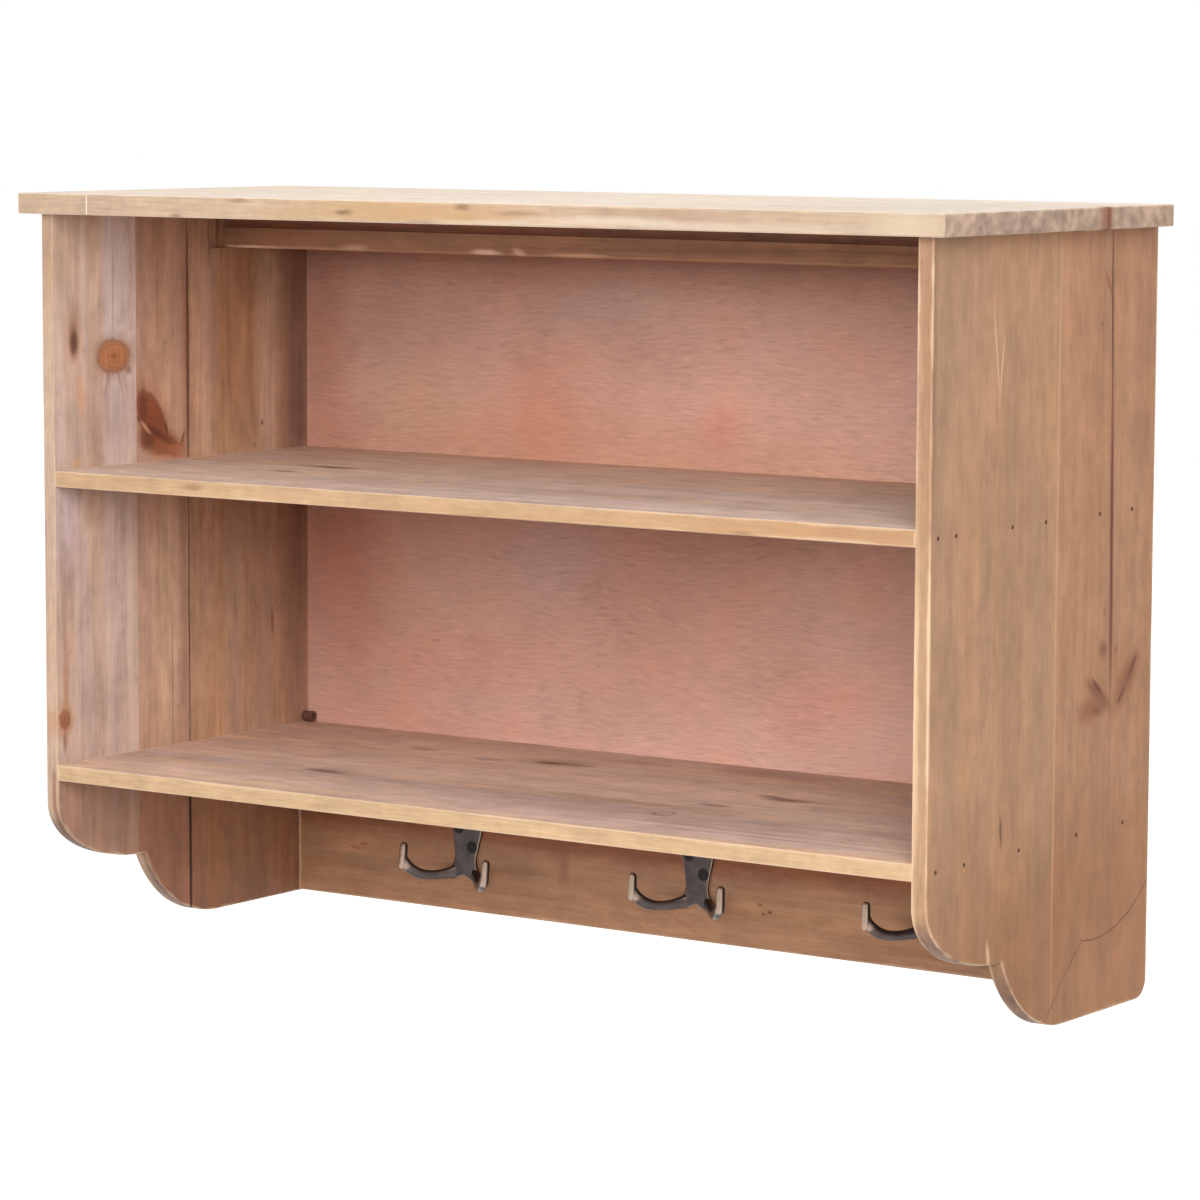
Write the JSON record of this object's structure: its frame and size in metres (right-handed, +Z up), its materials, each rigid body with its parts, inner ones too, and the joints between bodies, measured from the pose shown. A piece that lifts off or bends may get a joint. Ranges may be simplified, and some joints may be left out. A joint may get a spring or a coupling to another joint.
{
  "type": "wall plate rack",
  "caption": "Open wall-hung pine rack: shelves between scalloped sides, a plywood back and a lower rail with double coat hooks, for plates, cups and hanging things.",
  "frame": {"origin": "bottom centre of the rack's box: midway between the ends, midway between the top's front edge and the wall face, level with the foot of the sides", "axes": "+X to the viewer's right along the shelves, +Y back to the wall, +Z up"},
  "size_m": [0.828, 0.328, 0.586],
  "materials": {
    "pine_top": "planed pine, waxed, worn pale",
    "pine_side": "reclaimed pine, waxed, with knots and glue lines",
    "pine_shelf": "reclaimed pine, waxed, pinkish beige",
    "pine_rail": "dark waxed pine",
    "plywood": "reddish rotary-cut plywood, washed with stain",
    "hook_metal": "dark bronzed casting with rubbed tips",
    "screw_metal": "blackened screw",
    "nail_metal": "dull, slightly rusty nail"
  },
  "bodies": {
    "root": {"back_panel": "plywood", "back_panel_pins": "nail_metal", "batten_nails": "nail_metal", "coat_hook_centre": "hook_metal", "coat_hook_left": "hook_metal", "coat_hook_right": "hook_metal", "corner_stud": "screw_metal", "hanging_rail": "pine_rail", "hook_rail": "pine_rail", "hook_screws_centre": "screw_metal", "hook_screws_left": "screw_metal", "hook_screws_right": "screw_metal", "left_side_front_board": "pine_side", "left_side_middle_board": "pine_side", "left_side_rear_board": "pine_side", "lower_batten": "pine_rail", "lower_shelf_front_board": "pine_shelf", "lower_shelf_nails_left": "nail_metal", "lower_shelf_nails_right": "nail_metal", "lower_shelf_rear_board": "pine_shelf", "middle_shelf_front_board": "pine_shelf", "middle_shelf_nails_left": "nail_metal", "middle_shelf_nails_right": "nail_metal", "middle_shelf_rear_board": "pine_shelf", "right_side_front_board": "pine_side", "right_side_rear_board": "pine_side", "top_front_board": "pine_top", "top_nails": "nail_metal", "top_rear_board": "pine_top", "upper_batten": "pine_rail"}
  },
  "joints": []
}
